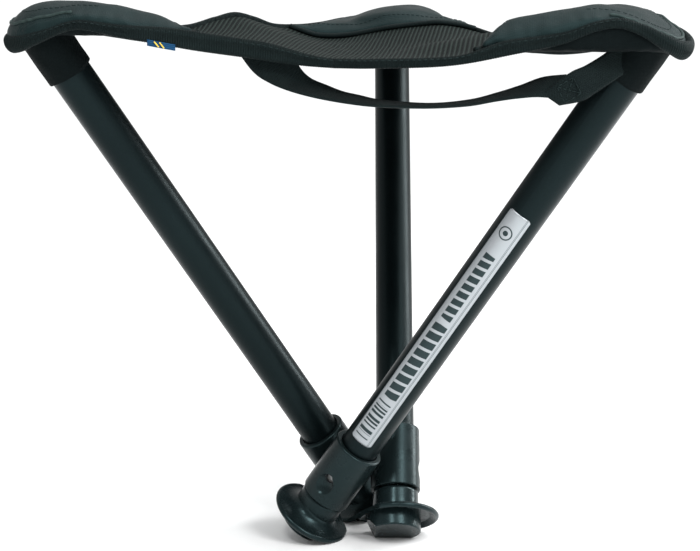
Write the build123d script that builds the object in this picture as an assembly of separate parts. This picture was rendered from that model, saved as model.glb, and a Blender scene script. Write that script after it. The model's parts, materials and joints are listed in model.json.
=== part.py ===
from build123d import *
import math
import os

os.makedirs("parts", exist_ok=True)

# ---------------------------------------------------------------- frame
# Millimetres. +Z up, the ground is z = 0. X runs along the front edge of the seat, +Y points away
# from it. The legs stand opened and pushed together. The origin is under the middle of the whole.

# ---------------------------------------------------------------- driving dimensions
LEAN = 35.4                 # opened leg away from the vertical, degrees
HUB_HEIGHT = 41.2           # pivot centre above the ground
PIVOT_RADIUS = 23.54        # leg axis away from the hub axis
CORNERS = {"left": 210.0, "back": 90.0, "right": 330.0}   # azimuth of each seat corner
GAP = 0.4                   # between soft pieces that lie on each other
RUNNING = 0.05              # radial clearance of everything that slides or turns

# leg: heights are along its axis, from the pivot
TUBE_R, TUBE_WALL = 12.0, 1.2
TUBE_LOW, TUBE_HIGH = -12.0, 324.5
TUBE_BORE = TUBE_R - TUBE_WALL
CAP_TOP, CAP_LOW, CAP_WALL = 326.0, 307.5, 2.0
SLEEVE_LOW, SLEEVE_HIGH, SLEEVE_R = 307.0, 328.5, 13.3
INNER_R, INNER_WALL = 9.5, 1.2
INNER_LOW, INNER_HIGH = -38.0, 302.0
BUSH_LENGTH, BUSH_FLOOR, BUSH_HOLE_R = 12.0, 2.0, 3.0

COLLAR_LOW, COLLAR_HIGH, COLLAR_R = -15.8, 25.0, 15.5
MOUTH_DEPTH, MOUTH_GAP = 3.0, 0.7                     # relieved mouth of the collar
RECESS_AT, RECESS_R, RECESS_DEPTH = -2.4, 10.0, 2.9   # thumb recess, scooped with a ball
LOCK_AT, LOCK_R = 2.0, 3.1  # lock hole in collar and outer tube
TRAVEL = 280.0              # how far a leg pulls out until its button meets the lock hole
BUTTON_AT = LOCK_AT + TRAVEL
BUTTON_R, BUTTON_HOLE_R, BUTTON_FLANGE_R = 2.75, 2.85, 3.5
BUTTON_BACK, BUTTON_FLANGE_T, BUTTON_SINK = 6.85, 0.5, 0.2
SPRING_T, SPRING_HALF_WIDTH = 0.5, 2.75

# hinge between hub and collar: distances are from the hub axis
CORE_R, CORE_LOW, CORE_HIGH = 5.2, -7.0, 7.0
STUB_R, STUB_END = 4.5, 8.4
BOSS_R, BOSS_START = 6.5, 5.7
BORE_START = 4.0
SCREW_R, SCREW_HEAD_R, SCREW_HEAD_T = 2.0, 4.0, 1.45
SCREW_START, SCREW_HEAD_AT, POCKET_AT, POCKET_GAP = 3.5, 9.85, 9.8, 0.1
SLOT_DEPTH, SLOT_WIDTH, SLOT_LENGTH = 0.7, 1.0, 6.0

# foot
FOOT_TOP, FOOT_BOTTOM = -16.1, -42.7
NECK_R, SHOULDER_R = 14.2, 2.2
FLARE_TOP, FLANGE_AT, FLANGE_R, LIP_R, FLANGE_SHIFT = -24.0, -32.4, 25.2, 1.8, 1.6
HOLLOW_R, HOLLOW_TOP = 19.5, -32.0
SOLE_R, SOLE_SHIFT = 16.6, -1.1
BEVEL_AT, BEVEL_ANGLE = -12.6, 35.0
FLANGE_FLAT = 21.3          # flange centre to the two flats that face the neighbouring feet

LABEL_LOW, LABEL_HIGH, LABEL_T = 30.5, 212.0, 0.3
LABEL_FROM, LABEL_TO = -28.5, 44.5                    # degrees round the tube

# seat: heights are above the pivots, distances are from the hub axis
CORNER_AT, CORNER_R = 193.0, 24.0     # centre and radius of a rounded seat corner
DISH_R, DISH_LOW = 900.0, 256.0       # seat dish: radius, and its lowest point
PANEL_T = 2.0
PANEL_CUT, PAD_CUT, HOOD_CUT = 150.0, 124.0, 152.0    # straight cuts across each corner
HOOD_LOW = 262.0
PAD_PEAK_AT, PAD_PEAK, PAD_CROWN_R = 165.0, 289.0, 95.0
TAPE_T = 4.0
EDGE_TAPE_ABOVE, EDGE_TAPE_BELOW = 1.5, 9.5           # edge tape, from the line of the dish
CORNER_TAPE_LOW, CORNER_TAPE_HIGH = HOOD_LOW - 0.5, HOOD_LOW + 11.5
TAPE_JOINT = 30.0           # from the corner's centre to where the two tapes meet
STRAP_T, STRAP_BACK, STRAP_FRONT = 1.8, -94.5, -119.5
STRAP_PATH = [(-36, 253.6), (-20, 246), (10, 238.5), (47, 235.8), (85, 239.5), (114, 245.5)]
TAB_PATH = [(112, 242.5), (118, 243.0), (128, 250.0), (139, 259.6)]
TAG_T, TAG_LOW, TAG_HIGH = 0.8, (-103, 256), (-89, 265)

# the seat is a rounded triangle, so the hub axis lies off the middle of its box
EDGE_AT = CORNER_AT / 2 + CORNER_R
SIDE_HALF = CORNER_AT * math.cos(math.radians(30))
HUB_Y = -((CORNER_AT + CORNER_R) - EDGE_AT) / 2
HUB = Vector(0, HUB_Y, HUB_HEIGHT)

LEG_TOP_RADIUS = math.hypot(PIVOT_RADIUS, CAP_TOP * math.sin(math.radians(LEAN)))
SWEEP = math.degrees(math.acos(PIVOT_RADIUS / LEG_TOP_RADIUS))   # pivot azimuth to corner azimuth


# ---------------------------------------------------------------- helpers
def unit(azimuth):
    a = math.radians(azimuth)
    return Vector(math.cos(a), math.sin(a), 0)


def leg_location(corner):
    """Frame of one leg: origin at its pivot, Z up the leg, X along the pivot axis, outwards."""
    azimuth = CORNERS[corner] - SWEEP
    out, along, lean = unit(azimuth), unit(azimuth + 90), math.radians(LEAN)
    up = Vector(0, 0, 1) * math.cos(lean) + along * math.sin(lean)
    return Plane(origin=HUB + out * PIVOT_RADIUS, x_dir=out, z_dir=up).location


def rod(radius, low, high):
    return Pos(0, 0, low) * Cylinder(radius, high - low, align=(Align.CENTER, Align.CENTER, Align.MIN))


def pipe(outer, inner, low, high):
    return rod(outer, low, high) - rod(inner, low - 1, high + 1)


def across(radius, start, end, height):
    """A rod along the leg's X axis, from start to end."""
    turned = Rot(0, 90, 0) * Cylinder(radius, end - start, align=(Align.CENTER, Align.CENTER, Align.MIN))
    return Pos(start, 0, height) * turned


def block(low, high):
    size = [b - a for a, b in zip(low, high)]
    return Pos(*low) * Box(*size, align=(Align.MIN, Align.MIN, Align.MIN))


def save(name, shape):
    if isinstance(shape, (list, ShapeList)):
        shape = Compound(children=list(shape))
    export_step(shape, f"parts/{name}.step")


# ---------------------------------------------------------------- leg pieces, in the leg frame
def make_outer_tube():
    tube = pipe(TUBE_R, TUBE_BORE, TUBE_LOW, TUBE_HIGH)
    return tube - across(LOCK_R, 0, TUBE_R + 2, LOCK_AT)


def make_tube_cap():
    plug = pipe(TUBE_BORE, TUBE_BORE - CAP_WALL, CAP_LOW, TUBE_HIGH)
    head = rod(TUBE_R, TUBE_HIGH, CAP_TOP)
    return plug + fillet(head.edges().group_by(Axis.Z)[-1], 0.8)


def make_top_sleeve():
    body = rod(SLEEVE_R, SLEEVE_LOW, SLEEVE_HIGH)
    body = fillet(body.edges().group_by(Axis.Z)[-1], 2.0)
    return body - rod(TUBE_R, SLEEVE_LOW - 1, CAP_TOP)


def make_collar():
    body = rod(COLLAR_R, COLLAR_LOW, COLLAR_HIGH)
    body = fillet(body.edges().group_by(Axis.Z)[0], 0.8)
    body = fillet(body.edges().group_by(Axis.Z)[-1], 1.2)
    # hinge boss that reaches inwards to the hub
    body += across(BOSS_R, BOSS_START - PIVOT_RADIUS, -TUBE_R - 1, 0)
    # seat of the outer tube, with a relieved mouth, and the narrower guide of the inner tube
    body -= rod(TUBE_R, TUBE_LOW, COLLAR_HIGH + 1)
    body -= rod(TUBE_R + MOUTH_GAP, COLLAR_HIGH - MOUTH_DEPTH, COLLAR_HIGH + 1)
    body -= rod(INNER_R + RUNNING, COLLAR_LOW - 1, TUBE_LOW + 1)
    # thumb recess round the lock hole
    body -= Pos(COLLAR_R - RECESS_DEPTH + RECESS_R, 0, RECESS_AT) * Sphere(RECESS_R)
    body -= across(LOCK_R, 0, COLLAR_R + 2, LOCK_AT)
    # hinge bore: stub of the hub, web, and the pocket of the screw head
    body -= across(STUB_R + RUNNING, BORE_START - PIVOT_RADIUS, STUB_END + RUNNING - PIVOT_RADIUS, 0)
    body -= across(SCREW_R + RUNNING, BORE_START - PIVOT_RADIUS, -TUBE_R, 0)
    body -= across(SCREW_HEAD_R + POCKET_GAP, POCKET_AT - PIVOT_RADIUS, -TUBE_R + 1, 0)
    return body


def make_inner_tube():
    tube = pipe(INNER_R, INNER_R - INNER_WALL, INNER_LOW, INNER_HIGH)
    return tube - across(BUTTON_HOLE_R, 0, INNER_R + 2, BUTTON_AT)


def make_guide_bush():
    cup = rod(TUBE_BORE - RUNNING, INNER_HIGH - BUSH_LENGTH, INNER_HIGH + BUSH_FLOOR)
    cup = fillet(cup.edges().group_by(Axis.Z)[-1], 0.8)
    cup -= rod(INNER_R, INNER_HIGH - BUSH_LENGTH - 1, INNER_HIGH)
    return cup - rod(BUSH_HOLE_R, INNER_HIGH - 1, INNER_HIGH + BUSH_FLOOR + 1)


def make_lock_button():
    pin = across(BUTTON_R, BUTTON_BACK, TUBE_BORE - BUTTON_SINK, BUTTON_AT)
    pin = fillet(pin.edges().group_by(Axis.X)[-1], 1.2)
    return pin + across(BUTTON_FLANGE_R, BUTTON_BACK, BUTTON_BACK + BUTTON_FLANGE_T, BUTTON_AT)


def make_button_spring():
    """Leaf spring: up behind the button, down, and back up along the far wall of the inner tube."""
    bend = Polyline((6.5, BUTTON_AT + 4.5), (6.5, BUTTON_AT - 5), (-1.0, BUTTON_AT - 30),
                    (-7.0, BUTTON_AT - 20), (-7.0, BUTTON_AT + 2))
    leaf = extrude(trace(bend, line_width=SPRING_T), SPRING_HALF_WIDTH, both=True)
    return Rot(90, 0, 0) * leaf


def make_foot_flange():
    """Flared flange with a rolled lip, hollow underneath."""
    rim = FLANGE_R - LIP_R
    start = NECK_R - FLANGE_SHIFT
    lip_top, lip_low = FLANGE_AT + LIP_R, FLANGE_AT - LIP_R
    flare = EllipticalCenterArc((rim, FLARE_TOP), rim - start, FLARE_TOP - lip_top, 180, arc_size=90)
    lip = ThreePointArc((rim, lip_top), (FLANGE_R, FLANGE_AT), (rim, lip_low))
    rest = Polyline((rim, lip_low), (HOLLOW_R, HOLLOW_TOP), (0, HOLLOW_TOP), (0, FLARE_TOP), (start, FLARE_TOP))
    return Pos(FLANGE_SHIFT, 0, 0) * revolve(Plane.XZ * make_face([flare, lip, rest]), Axis.Z)


def make_foot_sole():
    """Plug under the flange, bevelled towards the hub."""
    sole = Pos(SOLE_SHIFT, 0, 0) * rod(SOLE_R, FOOT_BOTTOM, FLANGE_AT + 2)
    sole = fillet(sole.edges().group_by(Axis.Z)[0], 1.0)
    beyond_bevel = Box(20, 60, 60, align=(Align.MAX, Align.CENTER, Align.CENTER))
    return sole - Pos(BEVEL_AT, 0, FOOT_BOTTOM) * Rot(0, -BEVEL_ANGLE, 0) * beyond_bevel


def make_foot():
    neck = rod(NECK_R, FLANGE_AT, FOOT_TOP)
    neck = fillet(neck.edges().group_by(Axis.Z)[-1], SHOULDER_R)
    foot = neck + make_foot_flange() + make_foot_sole()
    # flats that let the three feet stand side by side when the legs are folded
    for side in (-1, 1):
        cut = Rot(0, 0, side * 150) * block((FLANGE_FLAT, -40, -60), (60, 40, 0))
        foot -= Pos(FLANGE_SHIFT, 0, 0) * cut
    # socket of the inner tube, and the part that would reach below the ground when opened
    foot -= rod(INNER_R, INNER_LOW, FOOT_TOP + 1)
    ground = block((-60, -60, -60), (60, 60, 0))
    foot -= Rot(LEAN, 0, 0) * Pos(0, 0, -HUB_HEIGHT) * ground
    return foot


def make_label():
    shell = pipe(TUBE_R + LABEL_T, TUBE_R, LABEL_LOW, LABEL_HIGH)
    rays = [unit(LABEL_FROM) * 2 * TUBE_R, unit(LABEL_TO) * 2 * TUBE_R]
    wedge = make_face(Polyline((0, 0), rays[0], rays[1], close=True))
    return shell & extrude(wedge, LABEL_HIGH)


# ---------------------------------------------------------------- hub, in the row frame
def make_hub_spider():
    core = rod(CORE_R, CORE_LOW, CORE_HIGH)
    core = fillet(core.edges().filter_by(GeomType.CIRCLE), 1.2)
    for corner in CORNERS:
        core += Rot(0, 0, CORNERS[corner] - SWEEP) * across(STUB_R, 0, STUB_END, 0)
    for corner in CORNERS:
        core -= Rot(0, 0, CORNERS[corner] - SWEEP) * across(SCREW_R, SCREW_START, STUB_END + 1, 0)
    return Pos(*HUB) * core


def make_pivot_screws():
    head_end = SCREW_HEAD_AT + SCREW_HEAD_T
    screw = across(SCREW_R, SCREW_START, head_end, 0) + across(SCREW_HEAD_R, SCREW_HEAD_AT, head_end, 0)
    screw -= Pos(head_end, 0, 0) * Box(2 * SLOT_DEPTH, SLOT_WIDTH, SLOT_LENGTH)
    return [Pos(*HUB) * Rot(0, 0, CORNERS[corner] - SWEEP) * screw for corner in CORNERS]


# ---------------------------------------------------------------- seat, in the row frame
def seat_outline(inset):
    """Rounded triangle, flat, around the hub axis."""
    points = [unit(a) * CORNER_AT for a in CORNERS.values()]
    hull = make_face(Polyline(*points, close=True))
    return offset(hull, CORNER_R - inset, kind=Kind.ARC)


def dish(drop):
    """Everything above the seat dish lowered by drop."""
    return Pos(0, 0, DISH_LOW - drop + DISH_R) * Sphere(DISH_R)


def beyond(cut, low, high):
    """Block that holds what lies further out than cut, in a corner frame."""
    return block((cut, -200, low), (400, 200, high))


def make_seat_panel():
    prism = Pos(0, 0, 200) * extrude(seat_outline(TAPE_T + GAP), 120)
    panel = (prism & dish(PANEL_T)) - dish(0)
    for corner in CORNERS:
        panel -= Rot(0, 0, CORNERS[corner]) * beyond(PANEL_CUT, 100, 400)
    return Pos(*HUB) * panel


def make_corner_pad(corner):
    turn = Rot(0, 0, CORNERS[corner])
    prism = Pos(0, 0, HOOD_LOW) * extrude(seat_outline(TAPE_T + GAP), 60)
    crown = Pos(PAD_PEAK_AT, 0, PAD_PEAK - PAD_CROWN_R) * Rot(90, 0, 0) * Cylinder(PAD_CROWN_R, 400)
    pad = prism & (turn * (crown & beyond(PAD_CUT, 200, 400)))
    # the thin part lies on the panel, the hood behind it reaches down round the leg end
    thin = turn * block((0, -200, 200), (HOOD_CUT, 200, 400))
    above = (Pos(0, 0, 200) * Box(500, 500, 200, align=(Align.CENTER, Align.CENTER, Align.MIN))) - dish(-GAP)
    pad -= thin & above
    pad = Pos(*HUB) * pad
    return pad - leg_location(corner) * rod(SLEEVE_R + GAP, 200, SLEEVE_HIGH + GAP)


def make_edge_binding(azimuth):
    """Tape along one straight side, bent to the dish; azimuth is the side's outward normal."""
    arc_r = math.sqrt(DISH_R ** 2 - EDGE_AT ** 2)
    middle = DISH_LOW + DISH_R
    ring = Pos(0, 0, middle) * Rot(0, 90, 0) * (
        Cylinder(arc_r + EDGE_TAPE_BELOW, TAPE_T) - Cylinder(arc_r - EDGE_TAPE_ABOVE, TAPE_T + 1))
    ring = Pos(EDGE_AT - TAPE_T / 2, 0, 0) * ring
    half = SIDE_HALF - TAPE_JOINT - GAP
    ring &= block((0, -half, 200), (200, half, 300))
    return Pos(*HUB) * Rot(0, 0, azimuth) * ring


def make_corner_binding(corner):
    """Rolled tape round one corner, under the edge of the hood."""
    height = CORNER_TAPE_HIGH - CORNER_TAPE_LOW
    strip = extrude(seat_outline(0), height) - extrude(seat_outline(TAPE_T), height)
    strip = Pos(0, 0, CORNER_TAPE_LOW) * strip
    # cut square across each side, level with the end of the edge tape
    end = SIDE_HALF - TAPE_JOINT
    for side in (-1, 1):
        strip -= Rot(0, 0, CORNERS[corner] - side * 60) * block((60, -end, 0), (200, end, 400))
    return Pos(*HUB) * (strip & (Rot(0, 0, CORNERS[corner]) * block((100, -100, 200), (300, 100, 300))))


def webbing(path):
    """Webbing that lies across Y and follows the given X, Z points."""
    strip = extrude(trace(Spline(*path), line_width=STRAP_T), STRAP_BACK - STRAP_FRONT)
    return Pos(*HUB) * Pos(0, STRAP_BACK, 0) * Rot(90, 0, 0) * strip


def make_side_tag():
    low = (TAG_LOW[0], -EDGE_AT - GAP - TAG_T, TAG_LOW[1])
    high = (TAG_HIGH[0], -EDGE_AT - GAP, TAG_HIGH[1])
    return Pos(*HUB) * block(low, high)


# ---------------------------------------------------------------- write every node
PER_LEG = {
    "outer_tube": make_outer_tube(),
    "tube_cap": make_tube_cap(),
    "top_sleeve": make_top_sleeve(),
    "collar": make_collar(),
    "inner_tube": make_inner_tube(),
    "guide_bush": make_guide_bush(),
    "lock_button": make_lock_button(),
    "button_spring": make_button_spring(),
    "foot": make_foot(),
}
for corner in CORNERS:
    for piece, shape in PER_LEG.items():
        save(f"{corner}_{piece}", leg_location(corner) * shape)
    save(f"{corner}_corner_pad", make_corner_pad(corner))
    save(f"{corner}_corner_binding", make_corner_binding(corner))
save("tube_label", leg_location("right") * make_label())

save("hub_spider", make_hub_spider())
save("pivot_screws", make_pivot_screws())
save("seat_panel", make_seat_panel())
for side, azimuth in {"front": 270, "left": 150, "right": 30}.items():
    save(f"{side}_edge_binding", make_edge_binding(azimuth))
save("carry_strap", webbing(STRAP_PATH))
save("strap_tab", webbing(TAB_PATH))
save("side_tag", make_side_tag())
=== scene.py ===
import json
import math

import bmesh
import bpy
import numpy as np
from mathutils import Matrix, Vector
from mathutils.bvhtree import BVHTree


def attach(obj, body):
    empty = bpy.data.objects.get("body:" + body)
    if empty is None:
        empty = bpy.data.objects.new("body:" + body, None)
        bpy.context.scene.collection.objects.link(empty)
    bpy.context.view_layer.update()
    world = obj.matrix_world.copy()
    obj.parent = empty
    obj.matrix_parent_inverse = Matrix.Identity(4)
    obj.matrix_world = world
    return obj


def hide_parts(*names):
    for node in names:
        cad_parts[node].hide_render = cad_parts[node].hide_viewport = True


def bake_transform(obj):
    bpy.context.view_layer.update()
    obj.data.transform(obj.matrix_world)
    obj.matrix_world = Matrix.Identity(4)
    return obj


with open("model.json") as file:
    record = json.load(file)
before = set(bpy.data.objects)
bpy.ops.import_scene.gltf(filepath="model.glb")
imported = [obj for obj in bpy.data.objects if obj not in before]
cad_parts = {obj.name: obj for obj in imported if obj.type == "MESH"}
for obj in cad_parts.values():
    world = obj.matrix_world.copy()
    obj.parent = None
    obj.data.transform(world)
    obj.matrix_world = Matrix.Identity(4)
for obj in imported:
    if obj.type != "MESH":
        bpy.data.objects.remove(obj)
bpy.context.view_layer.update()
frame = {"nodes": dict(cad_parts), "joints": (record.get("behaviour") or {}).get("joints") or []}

# Lengths are millimetres from the hub centre, in the row frame's directions, until put() scales them.
JOINTS = {j["name"]: j for j in frame["joints"]}
CORNERS = {"left": 210.0, "back": 90.0, "right": 330.0}
UP = np.array([0, 0, 1.0])
PIVOTS = {c: np.array(JOINTS[c + "_leg_fold"]["pos_m"], float) * 1000 for c in CORNERS}
HUB = sum(PIVOTS.values()) / 3

EDGE_AT = 120.5             # straight side from the hub axis
CORNER_AT = 193.0           # centre of a rounded corner from the hub axis
CORNER_R = 24.0
ARC = CORNER_R * math.pi / 3                      # half of a corner's arc
HALF_SIDE = CORNER_AT * math.sqrt(3) / 2
HALF_RUN = HALF_SIDE + ARC                        # from a seat corner's tip to the middle of a side

PAD_FROM = 124.0            # inner end of a corner pad, from the hub axis
MESH_INSET = 2.6            # the mesh panel ends this far inside the outline
MESH_UNDER_PAD = 9.0        # and this far outside a pad's inner end
BAND_T = 3.8                # edge tape, folded
RIB = 1.35                  # pitch of the tape's ribs
TIP_REACH = 26.0            # the tape's shape at a tip fades out over this distance
STITCH_PITCH = 3.2
STITCH_AT = np.array([0, 1.05, 2.1])            # points of one stitch
SLEEVE_R, SLEEVE_TOP = 13.3, 328.5              # the leg's top sleeve; heights along the leg from its pivot
CUFF_LOW, CUFF_HIGH = 306.6, 337.0
TUBE_R = 12.0

# Height of the tape's lower edge along each corner's run. The first number is the distance from the
# corner's tip, negative before the corner when going round anticlockwise.
RUN_LOW = {
    "left": [(-192.3, 268.5), (-167, 264), (-132, 264), (-105, 267), (-82, 270), (-50, 273.5),
             (-32, 269), (-14, 263), (0, 260.6), (16, 262), (28, 266.5), (42, 272.5), (52, 274),
             (77, 269.4), (97, 266.3), (115, 263.4), (140, 260.2), (172, 256), (192.3, 254.6)],
    "right": [(-192.3, 254.6), (-172, 254.6), (-129, 256.6), (-95, 263.0), (-70, 268.6), (-52, 275.5),
              (-40, 277), (-29, 273), (-15, 265), (0, 260.2), (15, 264), (30, 271), (42, 275), (52, 274),
              (82, 268), (107, 262.5), (152, 258), (192.3, 257.5)],
    "back": [(-192.3, 257.5), (-162, 257.8), (-139, 259), (-107, 263.5), (-82, 267), (-50, 272),
             (-32, 269), (-14, 264), (0, 261.5), (14, 264), (32, 269), (50, 272), (82, 267), (107, 264),
             (132, 264), (152, 268.5), (172, 271.5), (192.3, 268.5)],
}
# Visible height of the tape, by distance from a corner's tip: the pads hang over it near the corners.
BAND_HEIGHT = [(0, 10.5), (18, 8.8), (38, 5.6), (60, 5.8), (85, 7.6), (112, 9.6), (150, 10.4), (193, 10.4)]
FRONT_FOLD = 5.0            # the front tape is folded narrower by this from its middle to the right
# Height of a pad's crown on the line to its corner, by distance from the hub axis.
CROWN = {
    "left": [(120, 276.5), (131, 279.6), (148, 284.2), (165, 288), (185, 289), (200, 288.4), (210, 286.6),
             (217, 280)],
    "right": [(120, 276.5), (131, 280.6), (150, 284.8), (165, 288), (176, 288.8), (187, 287), (200, 281),
              (210, 276.6), (217, 272)],
    "back": [(120, 276), (131, 281.5), (150, 284.8), (165, 285.8), (185, 283.5), (200, 279), (210, 273.5),
             (217, 269)],
}
# How far the tape draws in at each corner's tip.
TIP_INSET = {"left": 2.6, "back": 1.7, "right": 0.2}
POCKET_LOW = {"left": 271.0, "back": 266.0, "right": 264.5}
# A crown falls away to the sides of its highest line: place of that line, and fall per square millimetre.
CROWN_BOW = {"left": (0.0, 0.0), "back": (-13.0, 0.0064), "right": (0.0, 0.0)}
# Heights of the mesh panel away from the edges: x, y, height.
PANEL_SITES = [
    (0, 0, 255.5), (-40, -45, 258.5), (-62, -20, 262), (0, 62, 259.0), (-32, 30, 260), (-8, -84, 257.0),
    # a fold that rises from the middle of the front towards the right corner, and the dip behind it
    (17, -60, 258.8), (40, -57, 265.6), (53, -55, 268.0), (68, -54, 270.8), (84, -52, 273.2),
    (30, -22, 256.5), (50, -16, 259.5), (70, 0, 262.5), (58, 34, 262.5), (30, 30, 257.5), (30, -92, 259.5),
    (60, -92, 261.5), (113, -65, 275), (-113, -65, 273), (143, -82, 279), (-143, -82, 280), (0, 165, 277),
    # the inner end of the back pad
    (-45, PAD_FROM, 264.8), (-19, PAD_FROM, 265.4), (2, PAD_FROM, 269.6), (22, PAD_FROM, 272.2),
    (39, PAD_FROM, 273.6), (56, PAD_FROM, 271.4),
]


# ---- small maths
def unit(azimuth):
    a = math.radians(azimuth)
    return np.array([math.cos(a), math.sin(a), 0.0])


def through(knots, x):
    """Smooth curve through (place, value) knots."""
    kx, ky = np.array(knots, float).T
    slope = np.empty_like(ky)
    slope[1:-1] = (ky[2:] - ky[:-2]) / (kx[2:] - kx[:-2])
    slope[0] = (ky[1] - ky[0]) / (kx[1] - kx[0])
    slope[-1] = (ky[-1] - ky[-2]) / (kx[-1] - kx[-2])
    x = np.clip(np.asarray(x, float), kx[0], kx[-1])
    i = np.clip(np.searchsorted(kx, x) - 1, 0, len(kx) - 2)
    h = kx[i + 1] - kx[i]
    t = (x - kx[i]) / h
    return (ky[i] * (1 + 2 * t) * (1 - t) ** 2 + slope[i] * h * t * (1 - t) ** 2
            + ky[i + 1] * t * t * (3 - 2 * t) + slope[i + 1] * h * t * t * (t - 1))


def step(low, high, x):
    """Smooth rise from 0 at low to 1 at high."""
    t = np.clip((np.asarray(x, float) - low) / (high - low), 0, 1)
    return t * t * (3 - 2 * t)


def ripple(x, y, size, seed):
    """Soft unevenness between -1 and 1, with features about size across."""
    r = np.random.default_rng(seed)
    total = np.zeros_like(np.asarray(x, float))
    for _ in range(7):
        turn, phase = r.uniform(0, 2 * math.pi, 2)
        k = 2 * math.pi / size * r.uniform(0.6, 1.4)
        total = total + np.sin(k * (x * math.cos(turn) + y * math.sin(turn)) + phase)
    return total / 4.2


def leg_axes(corner):
    """A leg's pivot, its fold axis and its upward direction."""
    out = np.array(JOINTS[corner + "_leg_fold"]["axis"], float)
    up = -np.array(JOINTS[corner + "_leg_extend"]["axis"], float)
    return PIVOTS[corner] - HUB, out, up


# ---- the seat's outline
def rim(corner, a, inset=0.0):
    """Points (x, y, 0) on a corner's run at distances a from its tip, and the outward normals."""
    a = np.atleast_1d(np.asarray(a, float))
    azimuth = CORNERS[corner]
    turn = np.clip(a, -ARC, ARC) / CORNER_R + math.radians(azimuth)
    normal = np.stack([np.cos(turn), np.sin(turn), np.zeros_like(turn)], 1)
    along = np.stack([-np.sin(turn), np.cos(turn), np.zeros_like(turn)], 1)
    straight = (a - np.clip(a, -ARC, ARC))[:, None]
    return unit(azimuth) * CORNER_AT + normal * (CORNER_R - inset) + along * straight, normal


def low_edge(corner, a):
    return through(RUN_LOW[corner], a)


def band_height(corner, a):
    """Visible height of the tape. At the front it is wider near the tag, then folded narrower."""
    height = through(BAND_HEIGHT, np.abs(a))
    if corner == "left":
        wider = 1.3 * np.exp(-((np.asarray(a) - 100) / 26) ** 2)
        return height + wider - FRONT_FOLD * step(150, 192, a)
    if corner == "right":
        return height - FRONT_FOLD * (1 - step(-128, -95, a))
    return height


def tip_share(a):
    """1 at a corner's tip, fading out along its run."""
    return np.exp(-(a / TIP_REACH) ** 2)


def nearest_rim(corner, x, y):
    """Distance in from the outline and place along the corner's run, for points near that corner."""
    e, f = unit(CORNERS[corner]), unit(CORNERS[corner] + 90)
    p, q = x * e[0] + y * e[1], x * f[0] + y * f[1]
    angle = np.arctan2(q, p - CORNER_AT)
    limit = math.pi / 3
    side = np.sign(q + 1e-9)
    reach = p * math.cos(limit) + np.abs(q) * math.sin(limit)
    beside = np.abs(q) * math.cos(limit) - (p - CORNER_AT) * math.sin(limit)
    round_part = np.abs(angle) < limit
    inside = np.where(round_part, CORNER_R - np.hypot(p - CORNER_AT, q), EDGE_AT - reach)
    place = np.where(round_part, angle * CORNER_R, side * (ARC + np.maximum(beside, 0)))
    return inside, place


def thin_plate(sites):
    """Smooth height surface that passes close to (x, y, z) sites."""
    s = np.array(sites, float)
    span, softness = 100.0, 1e-3

    def kernel(a, b):
        r2 = ((a[:, None, :] - b[None, :, :]) ** 2).sum(2) / span ** 2
        return r2 * np.log(r2 + 1e-9)

    n = len(s)
    m = np.zeros((n + 3, n + 3))
    m[:n, :n] = kernel(s[:, :2], s[:, :2]) + np.eye(n) * softness
    m[:n, n] = 1
    m[:n, n + 1:] = s[:, :2] / span
    m[n:, :n] = m[:n, n:].T
    w = np.linalg.solve(m, np.concatenate([s[:, 2], [0, 0, 0]]))

    def height(x, y):
        at = np.stack([np.ravel(x), np.ravel(y)], 1).astype(float)
        z = kernel(at, s[:, :2]) @ w[:n] + w[n] + at / span @ w[n + 1:]
        return z.reshape(np.shape(x))

    return height


def seat_sites():
    """The panel's own sites, and sites along the edges at three quarters of the tape's height."""
    sites = list(PANEL_SITES)
    for corner in CORNERS:
        for a in (-165, -140, -115, -90, -65, -45, 45, 65, 90, 115, 140, 165, HALF_RUN):
            place, _ = rim(corner, a, 3.0)
            lift = 0.75 * float(band_height(corner, a))
            sites.append((place[0, 0], place[0, 1], float(low_edge(corner, a)) + lift))
    return sites


seat_height = thin_plate(seat_sites())


# ---- meshes
def put(points):
    """Metres in the row frame."""
    return (np.asarray(points, float) + HUB) / 1000


def placed(name, data):
    """New object in the scene."""
    made = bpy.data.objects.new(name, data)
    bpy.context.scene.collection.objects.link(made)
    return made


def piece(name, points, faces, uv=None, finish=None):
    """New object from points relative to the hub. uv holds one pair per point, in metres."""
    mesh = bpy.data.meshes.new(name)
    mesh.from_pydata(put(points).tolist(), [], [tuple(int(i) for i in f) for f in faces])
    mesh.polygons.foreach_set("use_smooth", [True] * len(mesh.polygons))
    if uv is not None:
        layer = mesh.uv_layers.new(name="UVMap")
        loops = np.zeros(len(mesh.loops), np.int32)
        mesh.loops.foreach_get("vertex_index", loops)
        layer.data.foreach_set("uv", (np.asarray(uv, float)[loops] / 1000).astype(np.float32).ravel())
    if finish is not None:
        mesh.materials.append(finish)
    mesh.update()
    return placed(name, mesh)


def grid_faces(rows, columns, closed=False):
    faces = []
    for i in range(rows - 1):
        for j in range(columns if closed else columns - 1):
            k = (j + 1) % columns
            faces.append((i * columns + j, i * columns + k, (i + 1) * columns + k, (i + 1) * columns + j))
    return faces


def shell_faces(rows, columns, downwards=False):
    """Two equal grids, the second one's points after the first one's, closed by a wall round the border."""
    n = rows * columns
    faces = grid_faces(rows, columns)
    if downwards:
        faces = [f[::-1] for f in faces]
    faces += [tuple(k + n for k in f[::-1]) for f in faces]
    border = [(0, j) for j in range(columns)]
    border += [(i, columns - 1) for i in range(1, rows)]
    border += [(rows - 1, j) for j in range(columns - 2, -1, -1)]
    border += [(i, 0) for i in range(rows - 2, 0, -1)]
    loop = [i * columns + j for i, j in border]
    for here, after in zip(loop, loop[1:] + loop[:1]):
        if downwards:
            here, after = after, here
        faces.append((after, here, here + n, after + n))
    return faces


def lengths_along(path):
    return np.concatenate([[0], np.cumsum(np.linalg.norm(np.diff(path, axis=0), axis=1))])


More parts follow.
